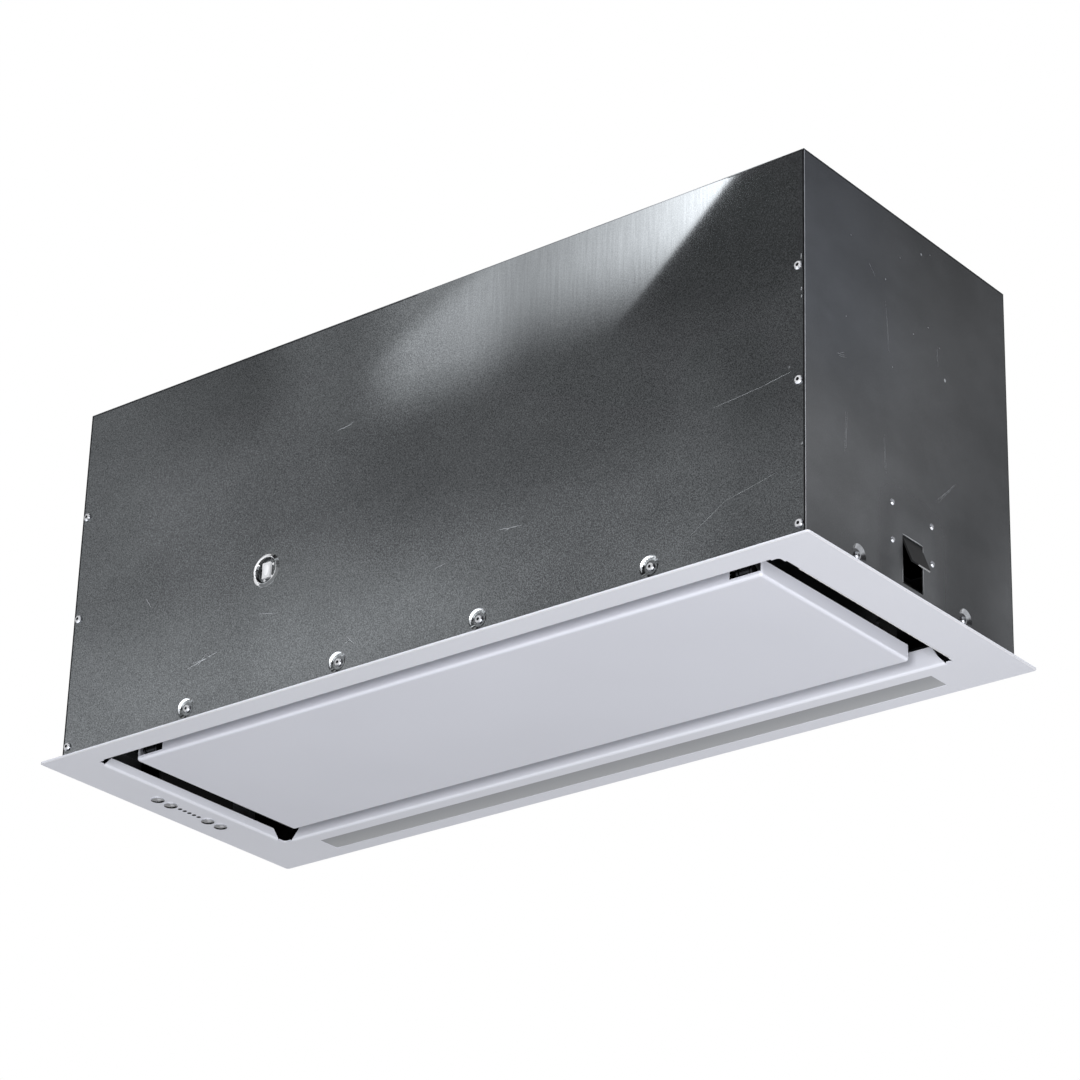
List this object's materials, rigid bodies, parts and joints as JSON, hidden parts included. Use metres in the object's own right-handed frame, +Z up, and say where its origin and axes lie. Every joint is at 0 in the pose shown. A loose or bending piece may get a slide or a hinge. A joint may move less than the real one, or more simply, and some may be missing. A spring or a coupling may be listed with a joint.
{
  "type": "ceiling range hood",
  "caption": "Sheet-steel range hood for recessed fitting, with a white trim frame, hinged suction panel, lamp strip, push buttons, blower and round outlet collar.",
  "frame": {"origin": "middle of the bounding box in X and Y, at the lowest point, which is the crown of the push buttons", "axes": "+X along the length, towards the end with the buttons; +Y towards the back, away from the lamp; +Z up"},
  "size_m": [0.877, 0.345, 0.411],
  "materials": {
    "galvanised_sheet": "spangled, dull",
    "white_paint": "smooth powder coat",
    "bracket_steel": "dull",
    "zinc_steel": "bright zinc",
    "chrome": "polished",
    "aluminium": "satin",
    "black_plastic": "matt",
    "ivory_plastic": "matt",
    "diffuser": "frosted",
    "lens": "smoked",
    "board_green": "satin",
    "board_white": "satin",
    "winding": "varnished",
    "bearing": "sintered",
    "rubber": "matt"
  },
  "bodies": {
    "housing": {"back_cover": "galvanised_sheet", "front_cover": "galvanised_sheet", "end_panel_left": "galvanised_sheet", "end_panel_right": "galvanised_sheet", "top_panel": "galvanised_sheet", "trim_frame": "white_paint", "long_rails": "bracket_steel", "end_brackets": "bracket_steel", "carrier_strips": "bracket_steel", "carrier_ends": "bracket_steel", "filter_brackets": "bracket_steel", "hinge_arms": "bracket_steel", "magnet_catches": "black_plastic", "scroll_wrap": "bracket_steel", "scroll_plates": "bracket_steel", "motor_can": "aluminium", "motor_cap": "aluminium", "stator": "winding", "motor_bearings": "bearing", "motor_spider": "bracket_steel", "motor_bushes": "rubber", "outlet_collar": "ivory_plastic", "flap_pin": "zinc_steel", "led_channel": "aluminium", "led_board": "board_white", "led_diffuser": "diffuser", "led_driver": "ivory_plastic", "control_housing": "black_plastic", "control_board": "board_green", "button_bezels": "chrome", "indicator_lenses": "lens", "electronics_box": "bracket_steel", "electronics_lid": "bracket_steel", "power_board": "board_green", "motor_capacitor": "aluminium", "cable_gland": "black_plastic", "catch_brackets": "bracket_steel", "catch_pins": "zinc_steel", "end_rivets": "zinc_steel", "sheet_screws": "zinc_steel", "ring_clip": "zinc_steel", "filter_frames": "aluminium", "filter_meshes": "aluminium"},
    "panel": {"suction_panel": "white_paint", "panel_ears": "bracket_steel", "hinge_pins": "zinc_steel", "strike_posts": "zinc_steel"},
    "wheel": {"impeller_disc": "black_plastic", "impeller_cage": "black_plastic", "motor_shaft": "zinc_steel"},
    "flap_back": {"flap_back": "ivory_plastic"},
    "flap_front": {"flap_front": "ivory_plastic"},
    "button_1": {"button_1": "chrome"},
    "button_2": {"button_2": "chrome"},
    "button_3": {"button_3": "chrome"},
    "button_4": {"button_4": "chrome"},
    "catch_left": {"catch_left": "black_plastic"},
    "catch_right": {"catch_right": "black_plastic"},
    "latch_left": {"latch_left": "zinc_steel"},
    "latch_right": {"latch_right": "zinc_steel"}
  },
  "joints": [
    {"name": "panel_hinge", "type": "hinge", "parent": "housing", "child": "panel", "pos_m": [0, 0.122, 0.011], "axis": [1, 0, 0], "range_deg": [0, 90]},
    {"name": "wheel_spin", "type": "hinge", "parent": "housing", "child": "wheel", "pos_m": [0, 0.02, 0.169], "axis": [1, 0, 0], "continuous": true},
    {"name": "flap_back_hinge", "type": "hinge", "parent": "housing", "child": "flap_back", "pos_m": [0, -0.045, 0.38505], "axis": [1, 0, 0], "range_deg": [0, 75]},
    {"name": "flap_front_hinge", "type": "hinge", "parent": "housing", "child": "flap_front", "pos_m": [0, -0.045, 0.38505], "axis": [-1, 0, 0], "range_deg": [0, 75]},
    {"name": "button_1_push", "type": "slide", "parent": "housing", "child": "button_1", "axis": [0, 0, 1], "range_m": [0, 0.001], "stiffness_N_per_m": 500, "springref_m": -0.001},
    {"name": "button_2_push", "type": "slide", "parent": "housing", "child": "button_2", "axis": [0, 0, 1], "range_m": [0, 0.001], "stiffness_N_per_m": 500, "springref_m": -0.001},
    {"name": "button_3_push", "type": "slide", "parent": "housing", "child": "button_3", "axis": [0, 0, 1], "range_m": [0, 0.001], "stiffness_N_per_m": 500, "springref_m": -0.001},
    {"name": "button_4_push", "type": "slide", "parent": "housing", "child": "button_4", "axis": [0, 0, 1], "range_m": [0, 0.001], "stiffness_N_per_m": 500, "springref_m": -0.001},
    {"name": "catch_left_hinge", "type": "hinge", "parent": "housing", "child": "catch_left", "pos_m": [-0.4188, 0, 0.06848], "axis": [0, -1, 0], "range_deg": [0, 16], "stiffness_Nm_per_rad": 0.05, "springref_deg": -17.19},
    {"name": "catch_right_hinge", "type": "hinge", "parent": "housing", "child": "catch_right", "pos_m": [0.4188, 0, 0.06848], "axis": [0, 1, 0], "range_deg": [0, 16], "stiffness_Nm_per_rad": 0.05, "springref_deg": -17.19},
    {"name": "latch_left_slide", "type": "slide", "parent": "housing", "child": "latch_left", "axis": [0, 1, 0], "range_m": [0, 0.006], "stiffness_N_per_m": 250, "springref_m": -0.003},
    {"name": "latch_right_slide", "type": "slide", "parent": "housing", "child": "latch_right", "axis": [0, 1, 0], "range_m": [0, 0.006], "stiffness_N_per_m": 250, "springref_m": -0.003}
  ]
}
